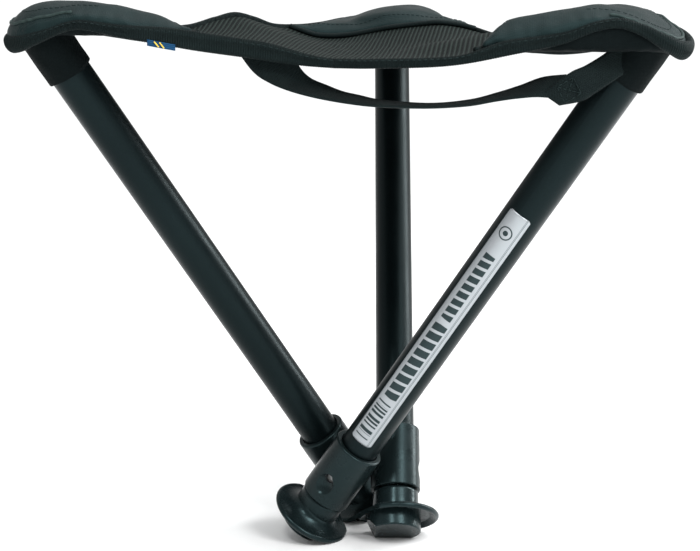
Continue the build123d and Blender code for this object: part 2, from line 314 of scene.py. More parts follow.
def sweep(path, wide, high, section):
    """Closed tube. section gives (across, up) pairs for every ring, as rings x points x 2."""
    rings, count = section.shape[:2]
    points = path[:, None, :] + section[:, :, :1] * wide[:, None, :] + section[:, :, 1:] * high[:, None, :]
    around = np.linspace(0, 1, count, endpoint=False) * 4 * np.abs(section).max()
    uv = np.stack(np.broadcast_arrays(lengths_along(path)[:, None], around[None, :]), 2).reshape(-1, 2)
    faces = grid_faces(rings, count, closed=True)
    faces.append(tuple(range(count))[::-1])
    faces.append(tuple((rings - 1) * count + j for j in range(count)))
    return points.reshape(-1, 3), faces, uv


def rounded(wide, high, count, sharp):
    """Ring of (across, up) points: an ellipse when sharp is 1, squarer below that."""
    t = np.linspace(0, 2 * math.pi, count, endpoint=False) + math.pi / count
    across, up = [np.sign(v) * np.abs(v) ** sharp for v in (np.cos(t), np.sin(t))]
    return np.stack([wide / 2 * across, high / 2 * up], 1)


def tube_along(path, radius, count=8):
    """Points and faces of a thin tube that follows a path."""
    path = np.asarray(path, float)
    ahead = np.gradient(path, axis=0)
    ahead /= np.linalg.norm(ahead, axis=1)[:, None]
    up = UP - ahead * ahead[:, 2:]
    up /= np.linalg.norm(up, axis=1)[:, None]
    across = np.cross(ahead, up)
    section = np.repeat(rounded(2 * radius, 2 * radius, count, 1.0)[None], len(path), 0)
    return sweep(path, across, up, section)


def join(parts):
    """Several (points, faces, uv) as one."""
    points, faces, uvs, start = [], [], [], 0
    for p, f, uv in parts:
        points.append(p)
        uvs.append(uv)
        faces += [tuple(i + start for i in face) for face in f]
        start += len(p)
    return np.concatenate(points), faces, np.concatenate(uvs)


def turned_right(made):
    """Recalculates the normals outwards."""
    work = bmesh.new()
    work.from_mesh(made.data)
    bmesh.ops.recalc_face_normals(work, faces=work.faces)
    work.to_mesh(made.data)
    work.free()
    return made


# ---- materials
SHINE = (0.62, 0.95, 1.0, 1)      # the green-blue cast of everything black on this stool


class Finish:
    """A Principled material with shortcuts for procedural detail."""

    def __init__(self, name, color, rough, metal=0.0, sheen=0.0, specular=0.5):
        self.material = bpy.data.materials.new(name)
        self.material.use_nodes = True
        self.tree = self.material.node_tree
        self.shader = self.tree.nodes["Principled BSDF"]
        self.set("Base Color", (*color, 1))
        self.set("Roughness", rough)
        self.set("Metallic", metal)
        self.set("Sheen Weight", sheen)
        self.set("Specular IOR Level", specular)
        self.set("Specular Tint", SHINE)
        self.color, self.rough = color, rough
        self.bumps = None

    def set(self, socket, value):
        self.shader.inputs[socket].default_value = value

    def node(self, kind, **values):
        made = self.tree.nodes.new(kind)
        for key, value in values.items():
            if key in made.inputs:
                made.inputs[key].default_value = value
            else:
                setattr(made, key, value)
        return made

    def link(self, a, b):
        self.tree.links.new(a, b)

    def where(self, source="Object", scale=(1, 1, 1), turn=0.0):
        coordinates = self.node("ShaderNodeTexCoord")
        mapping = self.node("ShaderNodeMapping")
        mapping.inputs["Scale"].default_value = scale
        mapping.inputs["Rotation"].default_value = (0, 0, turn)
        self.link(coordinates.outputs[source], mapping.inputs["Vector"])
        return mapping.outputs["Vector"]

    def noise(self, scale, detail=3.0, source="Object", stretch=(1, 1, 1)):
        made = self.node("ShaderNodeTexNoise", Scale=scale, Detail=detail)
        self.link(self.where(source, stretch), made.inputs["Vector"])
        return made.outputs["Fac"]

    def wave(self, scale, direction="X", source="UV", turn=0.0, distortion=0.0):
        made = self.node("ShaderNodeTexWave", Scale=scale, Distortion=distortion)
        made.bands_direction = direction
        self.link(self.where(source, turn=turn), made.inputs["Vector"])
        return made.outputs["Fac"]

    def remap(self, value, low, high, to_low, to_high):
        ends = {"From Min": low, "From Max": high, "To Min": to_low, "To Max": to_high}
        made = self.node("ShaderNodeMapRange", **ends)
        self.link(value, made.inputs["Value"])
        return made.outputs["Result"]

    def maths(self, operation, a, b):
        made = self.node("ShaderNodeMath", operation=operation)
        for i, value in enumerate((a, b)):
            if isinstance(value, (int, float)):
                made.inputs[i].default_value = value
            else:
                self.link(value, made.inputs[i])
        return made.outputs[0]

    def mottle(self, value, other, low=0.35, high=0.65):
        """Colour runs from the base to the other one as value goes from low to high."""
        ramp = self.node("ShaderNodeValToRGB")
        ends = ramp.color_ramp.elements
        ends[0].position, ends[1].position = low, high
        ends[0].color, ends[1].color = (*self.color, 1), (*other, 1)
        self.link(value, ramp.inputs["Fac"])
        self.link(ramp.outputs["Color"], self.shader.inputs["Base Color"])

    def vary_rough(self, value, spread):
        self.link(self.remap(value, 0.3, 0.7, self.rough - spread, self.rough + spread),
                  self.shader.inputs["Roughness"])

    def bump(self, value, height, strength=1.0):
        """height is in metres."""
        made = self.node("ShaderNodeBump", Strength=strength, Distance=height)
        self.link(value, made.inputs["Height"])
        if self.bumps is not None:
            self.link(self.bumps, made.inputs["Normal"])
        self.bumps = made.outputs["Normal"]
        self.link(self.bumps, self.shader.inputs["Normal"])


def wave_scale(pitch):
    """Scale of a wave texture whose bands are pitch metres apart."""
    return math.pi / 10 / pitch


def brighter(color, times):
    return tuple(times * c for c in color)


def painted_tube():
    f = Finish("tube_black_paint", (0.0016, 0.0030, 0.0034), 0.34, specular=0.14)
    f.mottle(f.noise(9, 2), (0.0024, 0.0046, 0.0052))
    f.vary_rough(f.noise(45, 4), 0.05)
    f.bump(f.noise(1400, 3), 0.00006)
    return f.material


def moulded(name, color, rough, grain=900, depth=0.00005):
    f = Finish(name, color, rough, specular=0.22)
    f.mottle(f.noise(35, 3), brighter(color, 1.5))
    f.vary_rough(f.noise(120, 4), 0.06)
    f.bump(f.noise(grain, 4), depth)
    return f.material


def metal(name, color, rough, brushed=(1, 1, 1), shine=1.0):
    """brushed squeezes the grain along one direction."""
    f = Finish(name, color, rough, metal=shine)
    f.mottle(f.noise(60, 3), brighter(color, 0.8))
    f.vary_rough(f.noise(300, 3, stretch=brushed), 0.08)
    f.bump(f.noise(600, 3, stretch=brushed), 0.00003)
    return f.material


def nylon():
    """Coated nylon of the corner pads: plain weave, slight sheen."""
    f = Finish("pad_nylon", (0.0036, 0.0084, 0.0086), 0.50, sheen=0.02, specular=0.16)
    f.mottle(f.noise(40, 4), (0.0060, 0.0130, 0.0132), 0.3, 0.7)
    f.vary_rough(f.noise(70, 3), 0.07)
    weave = f.maths("MULTIPLY", f.wave(330, "X", "Object"), f.wave(330, "Y", "Object"))
    f.bump(weave, 0.00012)
    f.bump(f.noise(160, 4), 0.00035, 0.5)
    return f.material


def black_cloth():
    color = (0.0016, 0.0022, 0.0023)
    f = Finish("pocket_cloth", color, 0.75, specular=0.08)
    f.mottle(f.noise(60, 3), brighter(color, 1.7))
    f.bump(f.maths("MULTIPLY", f.wave(420, "X", "Object"), f.wave(420, "Z", "Object")), 0.00015)
    f.bump(f.noise(220, 3), 0.0002, 0.5)
    return f.material


def ribbed_tape():
    """Grosgrain tape: ribs across its length, shown by the mesh too, with a fine thread in them."""
    f = Finish("edge_tape", (0.0018, 0.0031, 0.0030), 0.60, sheen=0.01, specular=0.13)
    ribs = f.wave(wave_scale(RIB / 1000), "X", "UV")
    f.mottle(f.noise(90, 3), (0.0042, 0.0066, 0.0063), 0.3, 0.75)
    f.bump(f.wave(1100, "Y", "UV"), 0.00008)
    f.bump(f.noise(500, 3), 0.0001, 0.5)
    f.vary_rough(ribs, 0.04)
    return f.material


def webbing():
    f = Finish("strap_webbing", (0.0018, 0.0030, 0.0030), 0.66, sheen=0.02, specular=0.14)
    f.mottle(f.noise(120, 3), (0.0040, 0.0062, 0.0060), 0.3, 0.7)
    weave = f.maths("MAXIMUM", f.wave(260, "X", "UV", turn=math.radians(35)),
                    f.wave(260, "X", "UV", turn=math.radians(-35)))
    f.bump(weave, 0.00025)
    f.bump(f.wave(520, "Y", "UV"), 0.0001)
    return f.material


CORD_PITCH, LINK_PITCH = 0.0027, 0.0024         # metres, across the seat and from front to back


def ribbed_mesh():
    """Seat mesh: cords from front to back, with rows of small dark pits between them. The colour darkens
    between the cords and is darkest in the pits: painted shade where the mesh is open.
    """
    f = Finish("seat_mesh", (0.0016, 0.0026, 0.0023), 0.66, sheen=0.01, specular=0.10)
    cords = f.wave(wave_scale(CORD_PITCH), "X", "UV")
    links = f.wave(wave_scale(LINK_PITCH), "Y", "UV")
    pits_with_painted_shade = f.maths("MULTIPLY", f.remap(cords, 0.1, 0.45, 1, 0), f.remap(links, 0.35, 0.7, 0, 1))
    # painted shade: the colour drops between the cords and in the pits, where the mesh is open
    f.mottle(f.maths("SUBTRACT", cords, pits_with_painted_shade), (0.0125, 0.0185, 0.0158), 0.1, 0.9)
    f.bump(cords, 0.0010)
    f.bump(pits_with_painted_shade, -0.0006)
    f.bump(f.noise(700, 3), 0.0001, 0.6)
    return f.material


def thread(name, color):
    f = Finish(name, color, 0.6, specular=0.2)
    f.mottle(f.noise(400, 2), brighter(color, 1.6))
    f.bump(f.noise(2500, 2), 0.00006)
    return f.material


def label_print():
    """Silver film with a block of bars at its low end, slanting dashes above, a ring and two lines."""
    film, ink = (0.36, 0.38, 0.40), (0.006, 0.008, 0.009)
    f = Finish("label_film", film, 0.36, metal=0.55)
    coordinates = f.node("ShaderNodeTexCoord")
    split = f.node("ShaderNodeSeparateXYZ")
    f.link(coordinates.outputs["UV"], split.inputs["Vector"])
    across, along = split.outputs["X"], split.outputs["Y"]      # metres on the film

    def between(value, low, high, soft=0.00012):
        up = f.remap(value, low - soft, low + soft, 0, 1)
        down = f.remap(value, high - soft, high + soft, 1, 0)
        return f.maths("MULTIPLY", up, down)

    def stripes(value, pitch, share, phase=0.0):
        at = f.maths("FRACT", f.maths("DIVIDE", f.maths("ADD", value, phase), pitch), 0.0)
        return f.maths("LESS_THAN", at, share)

    def both(a, b):
        return f.maths("MULTIPLY", a, b)

    def either(a, b):
        return f.maths("MAXIMUM", a, b)

    # a bar code without a code: stripe patterns laid over each other
    bars = either(both(stripes(along, 0.0031, 0.45), stripes(along, 0.0073, 0.7)),
                  stripes(along, 0.0047, 0.24, 0.001))
    code = both(bars, both(between(along, 0.0040, 0.0320), between(across, 0.0016, 0.0108)))
    # slanting dashes in two sizes
    slanted = f.maths("SUBTRACT", along, f.maths("MULTIPLY", across, 0.25))
    heavy = both(stripes(slanted, 0.0068, 0.72), between(across, 0.0028, 0.0114))
    heavy = both(heavy, between(along, 0.0360, 0.0950))
    slim = both(stripes(slanted, 0.0058, 0.68, 0.002), between(across, 0.0036, 0.0104))
    slim = both(slim, between(along, 0.0990, 0.1480))
    # plain ring and dot near the top
    out_a = f.maths("SUBTRACT", across, 0.0066)
    out_b = f.maths("SUBTRACT", along, 0.1640)
    away = f.maths("SQRT", f.maths("ADD", both(out_a, out_a), both(out_b, out_b)), 0.0)
    ring = either(between(away, 0.0034, 0.0042), f.maths("LESS_THAN", away, 0.0016))
    # two thin lines along one side
    thin = 0.00008
    lines = either(between(across, 0.0132, 0.01345, thin), between(across, 0.0126, 0.0128, thin))
    dark = either(either(code, heavy), either(slim, either(ring, lines)))
    mixed = f.node("ShaderNodeMix", data_type="RGBA")
    mixed.inputs[6].default_value = (*film, 1)
    mixed.inputs[7].default_value = (*ink, 1)
    f.link(dark, mixed.inputs[0])
    f.link(mixed.outputs[2], f.shader.inputs["Base Color"])
    f.link(f.remap(dark, 0, 1, 0.55, 0.0), f.shader.inputs["Metallic"])
    f.vary_rough(f.noise(140, 3), 0.05)
    f.bump(f.noise(300, 3), 0.00003)
    return f.material


TUBE = painted_tube()
PLASTIC = moulded("collar_black_plastic", (0.0040, 0.0068, 0.0072), 0.30, 700, 0.00006)
FOOT = moulded("foot_black_rubber", (0.0042, 0.0074, 0.0080), 0.25, 500, 0.00008)
SLEEVE = moulded("pocket_sleeve", (0.0016, 0.0022, 0.0024), 0.62, 350, 0.0002)
NYLON = nylon()
CLOTH = black_cloth()
TAPE = ribbed_tape()
WEBBING = webbing()
MESH = ribbed_mesh()
THREAD = thread("stitch_thread", (0.0050, 0.0080, 0.0078))
# the piping is real geometry; its lighter colour is a painted highlight along its roll
PIPING_PAINTED_HIGHLIGHT = thread("pad_piping", (0.0150, 0.0225, 0.0210))
ALUMINIUM = metal("inner_tube_aluminium", (0.92, 0.93, 0.92), 0.42, (1, 1, 0.05), shine=0.4)
STEEL = metal("button_steel", (0.60, 0.61, 0.62), 0.28)
HUB_METAL = metal("hub_cast_metal", (0.30, 0.31, 0.32), 0.42)
GREY_PLASTIC = moulded("guide_plastic", (0.12, 0.13, 0.13), 0.45)

NODE_FINISH = {
    "outer_tube": TUBE, "tube_cap": PLASTIC, "top_sleeve": SLEEVE, "collar": PLASTIC,
    "inner_tube": ALUMINIUM, "guide_bush": GREY_PLASTIC, "lock_button": STEEL, "button_spring": STEEL,
    "foot": FOOT, "hub_spider": HUB_METAL, "pivot_screws": STEEL,
}


def repaint_frame_parts():
    """Gives the CAD parts that stay visible their finishes."""
    for name, node in frame["nodes"].items():
        for ending, finish in NODE_FINISH.items():
            if name.endswith(ending):
                node.data.materials.clear()
                node.data.materials.append(finish)
                node.data.polygons.foreach_set("use_smooth", [True] * len(node.data.polygons))
                smooth_by_angle(node)


def smooth_by_angle(node, angle=35.0):
    """Marks the hard edges of a CAD part, so that only its curved faces shade smoothly."""
    work = bmesh.new()
    work.from_mesh(node.data)
    limit = math.radians(angle)
    sharp = [e.index for e in work.edges if len(e.link_faces) != 2 or e.calc_face_angle(0.0) > limit]
    work.free()
    flags = np.zeros(len(node.data.edges), bool)
    flags[sharp] = True
    attribute = node.data.attributes.get("sharp_edge")
    attribute = attribute or node.data.attributes.new("sharp_edge", "BOOLEAN", "EDGE")
    attribute.data.foreach_set("value", flags)
    node.data.update()


repaint_frame_parts()


def follow(made):
    """Bakes the object's transform into its mesh."""
    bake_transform(made)


# ---- seat mesh
def mesh_sector(corner):
    """The panel's part that belongs to one corner, a kite from the middle to two side middles."""
    count = 84
    a = np.linspace(0, 1, count)
    one, _ = rim(corner, HALF_RUN, MESH_INSET)
    two, _ = rim(corner, -HALF_RUN, MESH_INSET)
    tip = unit(CORNERS[corner]) * 2 * (EDGE_AT - MESH_INSET)
    i, j = np.meshgrid(a, a, indexing="ij")
    flat = (i * (1 - j))[..., None] * one[0] + ((1 - i) * j)[..., None] * two[0] + (i * j)[..., None] * tip
    flat = flat.reshape(-1, 3)
    x, y = flat[:, 0], flat[:, 1]
    z = seat_height(x, y) + 0.35 * ripple(x, y, 34, 5)
    points = np.stack([x, y, z], 1)
    out = points @ unit(CORNERS[corner])
    faces = [f[::-1] for f in grid_faces(count, count) if min(out[list(f)]) < PAD_FROM + MESH_UNDER_PAD]
    used = sorted({k for f in faces for k in f})
    index = {k: n for n, k in enumerate(used)}
    faces = [tuple(index[k] for k in f) for f in faces]
    points = points[used]
    made = piece(corner + "_seat_mesh", points, faces, points[:, :2] + 500, MESH)
    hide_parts("seat_panel")
    follow(made)
    return made


# ---- edge tape
def binding_tape(corner):
    a = np.arange(-HALF_RUN, HALF_RUN + 0.01, RIB / 4)
    a = np.append(a[a < HALF_RUN - 0.05], HALF_RUN)
    place, normal = rim(corner, a, BAND_T / 2)
    height = band_height(corner, a)
    # the tape rolls under and thickens round the tip
    tip = tip_share(a)
    place = place - normal * (TIP_INSET[corner] * tip)[:, None]
    path = place + UP * (low_edge(corner, a) + height / 2)[:, None]
    # degrees that the tape's upper edge leans in: more beside the tip, and outwards at the tip itself
    beside_tip = np.exp(-((np.abs(a) - 38) / 16) ** 2)
    roll = np.radians(9 + 16 * beside_tip + 6 * ripple(a, 0 * a, 60, 11) - 34 * tip)
    up = np.cos(roll)[:, None] * UP - np.sin(roll)[:, None] * normal
    wide = np.cos(roll)[:, None] * normal + np.sin(roll)[:, None] * UP
    count = 18
    flat, full = rounded(1.0, 1.0, count, 0.7), rounded(1.0, 1.0, count, 1.0)
    ring = flat[None] + (full - flat)[None] * tip[:, None, None]
    thick = BAND_T + 2.6 * tip
    ribs = 0.22 * np.cos(2 * math.pi * a / RIB)
    section = np.empty((len(a), count, 2))
    section[:, :, 0] = ring[:, :, 0] * (thick + 2 * ribs)[:, None]
    section[:, :, 1] = ring[:, :, 1] * (height + ribs)[:, None]
    made = piece(corner + "_binding_tape", *sweep(path, wide, up, section), TAPE)
    turned_right(made)
    edges = {"left": ("front_edge_binding", "left_edge_binding"),
             "right": ("front_edge_binding", "right_edge_binding"),
             "back": ("left_edge_binding", "right_edge_binding")}[corner]
    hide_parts(corner + "_corner_binding", *edges)
    follow(made)
    return made


def tape_stitches(corner):
    """A row of stitches near the tape's upper edge, on its outer face."""
    parts = []
    for a in np.arange(-HALF_RUN + 2, HALF_RUN - 2, 3.3):
        at = np.array([a, a + 1.1, a + 2.1])
        place, normal = rim(corner, at, -0.16)
        tall = band_height(corner, at)
        lift = low_edge(corner, at) + tall * 0.78
        lean = 0.09 * tall + tip_share(at)
        path = place - normal * lean[:, None] + UP * lift[:, None]
        parts.append(tube_along(path, 0.27, 6))
    made = piece(corner + "_tape_stitches", *join(parts), THREAD)
    follow(made)
    return made


# ---- corner pads
def leg_end_cover(corner, x, y):
    """Height of the top of the leg's sleeve, with room round it, over points x, y."""
    start, out, up = leg_axes(corner)
    lean = math.acos(up[2])
    along = np.array([up[0], up[1], 0]) / math.sin(lean)
    dx, dy = x - start[0], y - start[1]
    t, v = dx * along[0] + dy * along[1], dx * out[0] + dy * out[1]
    room = SLEEVE_R + 1.2
    half = np.sqrt(np.maximum(room ** 2 - v ** 2, 0))
    side = t / math.tan(lean) + half / math.sin(lean)
    cap = (SLEEVE_TOP + 1.0 - t * math.sin(lean)) / math.cos(lean)
    return np.where(np.abs(v) < room, np.minimum(side, cap), -1e3)


PAD_RISE = 19.0             # the padding reaches its full height this far in from the mesh's border
PAD_LEAST = 3.8             # least thickness
PAD_GAP = BAND_T - 1.4      # from the outline to a pad's side
PAD_SHRINK = 1.6            # a pad starts this much lower, because the cloth solver swells it
BEHIND_TAPE = 2.2           # a pad's side stops this far below the tape's upper edge
CROWN_LEAST = 1.6           # a crown's least height over the top of a pad's side
OVER_MESH, TUCKED = 5.5, 1.5        # a crown's least height over the mesh, and the inner end's


def pad_heights(corner, p, q, x, y, shrink):
    """Upper and lower surface; p runs from the hub axis to the corner, q across it."""
    inside, place = nearest_rim(corner, x, y)
    inside = np.maximum(inside, 0)
    edge_low = low_edge(corner, place)
    rim_top = edge_low + band_height(corner, place) - BEHIND_TAPE
    middle, fall = CROWN_BOW[corner]
    base = seat_height(x, y)
    above_mesh = base + OVER_MESH - 40 * step(138, 165, p)
    crown = np.maximum(through(CROWN[corner], p) - fall * (q - middle) ** 2, above_mesh) - shrink
    crown = np.maximum(crown, rim_top + CROWN_LEAST)
    share = np.sqrt(1 - (1 - np.clip((inside - MESH_INSET) / PAD_RISE, 0, 1)) ** 2)
    # the inner end closes down on the mesh
    end = np.sqrt(1 - (1 - np.clip((p - PAD_FROM + 1.0) / 9, 0, 1)) ** 2)
    top = rim_top + (crown - rim_top) * share
    top = base + TUCKED + (top - base - TUCKED) * end
    flat_low = POCKET_LOW[corner]
    pocket = flat_low + (np.minimum(flat_low, edge_low + 1.5) - flat_low) * (1 - step(3, 14, inside))
    low = base + 0.5 + (pocket - base - 0.5) * step(PAD_FROM + 6, PAD_FROM + 18, p)
    low = np.minimum(low, base + 0.5 + 20 * step(PAD_FROM, PAD_FROM + 12, p))
    low = np.maximum(low, leg_end_cover(corner, x, y))
    top = top + 0.45 * ripple(x, y, 26, 21) * share
    return np.maximum(top, low + PAD_LEAST), low


def pad_shell(corner, shrink):
    """Closed mesh of a pad from its upper and lower heights, with its crown lower by shrink."""
    rows, columns = 46, 61
    e, f = unit(CORNERS[corner]), unit(CORNERS[corner] + 90)
    p = np.linspace(PAD_FROM, CORNER_AT + CORNER_R - PAD_GAP - 0.35, rows)
    r = CORNER_R - PAD_GAP
    tangent = CORNER_AT + r * 0.5
    width = np.where(p < tangent, (2 * (EDGE_AT - PAD_GAP) - p) * math.tan(math.radians(30)),
                     np.sqrt(np.maximum(r * r - (p - CORNER_AT) ** 2, 0)))
    s = np.sin(np.linspace(-math.pi / 2, math.pi / 2, columns))
    pp = np.repeat(p[:, None], columns, 1)
    qq = width[:, None] * s[None, :]
    x, y = pp * e[0] + qq * f[0], pp * e[1] + qq * f[1]
    top, low = pad_heights(corner, pp, qq, x, y, shrink)
    # the padding bulges out over the tape, by 3.4 beside the corner and 1.2 at its tip
    inside, place = nearest_rim(corner, x, y)
    _, normal = rim(corner, place.ravel(), 0)
    normal = normal.reshape(*x.shape, 3)
    over = top - (low_edge(corner, place) + band_height(corner, place))
    bulge = (3.4 - 2.2 * np.exp(-(place / 28.0) ** 2)) * step(20, 40, pp - PAD_FROM)
    bulge *= np.exp(-((over - 3.0) / 4.5) ** 2) * np.exp(-((inside - PAD_GAP) / 6.0) ** 2)
    upper = np.stack([x + normal[..., 0] * bulge, y + normal[..., 1] * bulge, top], 2).reshape(-1, 3)
    lower = np.stack([x, y, low], 2).reshape(-1, 3)
    return np.concatenate([upper, lower]), shell_faces(rows, columns, downwards=True)


def coordinates(made):
    co = np.zeros(len(made.data.vertices) * 3, np.float32)
    made.data.vertices.foreach_get("co", co)
    return co.reshape(-1, 3).astype(float)


def per_face(mesh, what):
    values = np.zeros(len(mesh.polygons) * 3, np.float32)
    mesh.polygons.foreach_get(what, values)
    return values.reshape(-1, 3)


def set_coordinates(made, co):
    made.data.vertices.foreach_set("co", np.asarray(co, np.float32).ravel())
    made.data.update()


def applied(made):
    """Replaces the object's mesh by what its modifiers make of it."""
    evaluated = made.evaluated_get(bpy.context.evaluated_depsgraph_get())
    mesh = bpy.data.meshes.new_from_object(evaluated)
    made.modifiers.clear()
    old = made.data
    made.data = mesh
    bpy.data.meshes.remove(old)
    mesh.polygons.foreach_set("use_smooth", [True] * len(mesh.polygons))
    return made


def remeshed(made, voxel):
    modifier = made.modifiers.new("remesh", "REMESH")
    modifier.mode = "VOXEL"
    modifier.voxel_size = voxel
    return applied(made)


def inflated(made, allowed, pressure=4.0, frames=20):
    """Cloth under pressure, without weight; allowed is the most that each point may move, in metres."""
    rest = coordinates(made)
    cloth = made.modifiers.new("cloth", "CLOTH")
    cloth.settings.quality = 6
    cloth.settings.mass = 0.25
    cloth.settings.tension_stiffness = 18
    cloth.settings.compression_stiffness = 12
    cloth.settings.bending_stiffness = 0.4
    cloth.settings.use_pressure = True
    cloth.settings.uniform_pressure_force = pressure
    cloth.settings.effector_weights.gravity = 0
    cloth.collision_settings.use_collision = False
    cloth.point_cache.frame_start, cloth.point_cache.frame_end = 1, frames
    scene = bpy.context.scene
    for number in range(1, frames + 1):
        scene.frame_set(number)
    applied(made)
    scene.frame_set(1)
    moved = coordinates(made) - rest
    far = np.linalg.norm(moved, axis=1)
    share = np.minimum(1, allowed / np.maximum(far, 1e-9))
    set_coordinates(made, rest + moved * share[:, None])
    return made


def corner_pad(corner):
    """Padded nylon corner: shaped low, then swelled by the cloth solver, then gathered at its edge."""
    points, faces = pad_shell(corner, PAD_SHRINK)
    made = piece(corner + "_pad", points, faces)
    turned_right(made)
    remeshed(made, 0.0032)
    smoother = made.modifiers.new("smooth", "SMOOTH")
    smoother.factor, smoother.iterations = 0.5, 3
    applied(made)
    co = coordinates(made) * 1000 - HUB
    _, low = pad_heights(corner, co @ unit(CORNERS[corner]), co @ unit(CORNERS[corner] + 90),
                         co[:, 0], co[:, 1], 0)
    inside, _ = nearest_rim(corner, co[:, 0], co[:, 1])
    upper = step(2, 9, co[:, 2] - low)
    inflated(made, 0.001 * (0.25 + 2.3 * upper * step(3, 14, inside)))
    finer = made.modifiers.new("finer", "SUBSURF")
    finer.levels = finer.render_levels = 1
    applied(made)
    co = coordinates(made) * 1000 - HUB
    inside, place = nearest_rim(corner, co[:, 0], co[:, 1])
    # gathers along the taped edge
    pucker = 0.28 * np.sin(2 * math.pi * (place + 3 * ripple(place, inside, 30, 3)) / 9.0)
    co[:, 2] += pucker * np.exp(-(inside / 9.0) ** 2)
    set_coordinates(made, put(co))
    made.data.materials.append(NYLON)
    made.data.materials.append(CLOTH)
    # plain cloth on the underside and below the edge
    mesh = made.data
    centre = per_face(mesh, "center") * 1000 - HUB
    normal = per_face(mesh, "normal")
    inside, place = nearest_rim(corner, centre[:, 0], centre[:, 1])
    under = (normal[:, 2] < -0.25) | ((inside < 7) & (centre[:, 2] < low_edge(corner, place) + 4))
    mesh.polygons.foreach_set("material_index", under.astype(np.int32))
    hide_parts(corner + "_corner_pad")
    return made


def pocket_cuff(corner):
    """Cloth collar that joins the pad's underside to the sleeve round the leg's end."""
    start, out, up = leg_axes(corner)
    side = np.cross(up, out)
    around, rings = 72, 14
    t = np.linspace(0, 2 * math.pi, around, endpoint=False)
    ray = np.cos(t)[:, None] * out + np.sin(t)[:, None] * side
    low = CUFF_LOW + 0.3 * np.sin(3 * t + 1) + 0.1 * np.sin(7 * t)
    points = []
    for radius, order in ((SLEEVE_R + 0.5, range(rings)), (SLEEVE_R + 0.06, range(rings - 1, -1, -1))):
        # each line up the cuff ends a little inside the pad
        high = np.minimum((POCKET_LOW[corner] + 2.5 - radius * ray[:, 2]) / up[2], CUFF_HIGH)
        for k in order:
            share = k / (rings - 1)
            crease = 0.12 * np.sin(9 * t + 6 * share) * math.sin(math.pi * share)
            height = low + (high - low) * share
            points.append(start + up * height[:, None] + ray * (radius + crease)[:, None])
    faces = grid_faces(2 * rings, around, closed=True)
    # the last ring joins the first
    last = (2 * rings - 1) * around
    faces += [(j + last, (j + 1) % around + last, (j + 1) % around, j) for j in range(around)]
    made = turned_right(piece(corner + "_pocket_cuff", np.concatenate(points), faces, None, CLOTH))
    follow(made)
    return made


def surface_of(made):
    """Search tree of the object's surface, in millimetres from the hub."""
    mesh = made.data
    points = (coordinates(made) * 1000 - HUB).tolist()
    return BVHTree.FromPolygons(points, [tuple(p.vertices) for p in mesh.polygons])


def laid_on(tree, flat, lift):
    """Puts (x, y) points on top of a surface, lift above it; points with nothing below are dropped."""
    found = []
    for x, y in flat:
        place, _, _, _ = tree.ray_cast(Vector((x, y, 400)), Vector((0, 0, -1)))
        if place is not None:
            found.append((x, y, place[2] + lift))
    z = np.array(found).reshape(-1, 3)
    if len(z) > 2:
        z[1:-1, 2] = (z[:-2, 2] + 2 * z[1:-1, 2] + z[2:, 2]) / 4
    return z


def pad_trim(corner, pad):
    """Seam roll and stitches at the inner end, piping and stitches round the outer end."""
    tree = surface_of(pad)
    e, f = unit(CORNERS[corner]), unit(CORNERS[corner] + 90)
    half = (2 * (EDGE_AT - BAND_T) - PAD_FROM) * math.tan(math.radians(30)) - 0.5
    q = np.linspace(-half, half, 90)
    base = e[None, :] * (PAD_FROM - 0.3) + f[None, :] * q[:, None]
    roll = base.copy()
    roll[:, 2] = seat_height(base[:, 0], base[:, 1]) + 1.7
    seam = piece(corner + "_pad_seam_roll", *tube_along(roll, 1.75, 10), TAPE)

    a = np.linspace(-46, 46, 110)
    flat, _ = rim(corner, a, 5.2)
    # piping tube in a lighter colour: painted highlight
    piping = piece(corner + "_pad_piping", *tube_along(laid_on(tree, flat[:, :2], 0.3), 1.0, 8), PIPING_PAINTED_HIGHLIGHT)

    runs = []
    for at in np.arange(-58, 58, STITCH_PITCH):
        run, _ = rim(corner, at + STITCH_AT, 11.5)
        runs.append(run)
    for at in np.arange(-half + 3, half - 4, STITCH_PITCH):
        runs.append(e[None, :] * (PAD_FROM + 6.5) + f[None, :] * (at + STITCH_AT)[:, None])
    laid = [laid_on(tree, run[:, :2], 0.05) for run in runs]
    parts = [tube_along(path, 0.26, 6) for path in laid if len(path) == 3]
    stitches = piece(corner + "_pad_stitches", *join(parts), THREAD)
    return [seam, piping, stitches]


# ---- strap, tab and tag
def ribbon(rows, thick, count=150):
    """Flat webbing between two edges: each row holds a point of one edge and a point of the other."""
    rows = np.array(rows, float)
    t = np.arange(len(rows))
    at = np.linspace(0, len(rows) - 1, count)
    edges = np.stack([through(np.stack([t, rows[:, k]], 1), at) for k in range(6)], 1)
    path = (edges[:, :3] + edges[:, 3:]) / 2
    wide = edges[:, 3:] - edges[:, :3]
    ahead = np.gradient(path, axis=0)
    up = np.cross(wide, ahead)
    up /= np.linalg.norm(up, axis=1)[:, None]
    steps = 13
    across = np.linspace(-0.5, 0.5, steps)
    half = np.where(np.abs(across) < 0.49, thick / 2, thick / 5)
    ring = np.concatenate([np.stack([across, half], 1), np.stack([across, -half], 1)[::-1]])
    points, faces, _ = sweep(path, wide, up, np.repeat(ring[None], count, 0))
    along = lengths_along(path)
    place = ring[None, :, 0] * np.linalg.norm(wide, axis=1)[:, None]
    uv = np.stack(np.broadcast_arrays(along[:, None], place), 2).reshape(-1, 2)
    return points, faces, uv, along[-1]


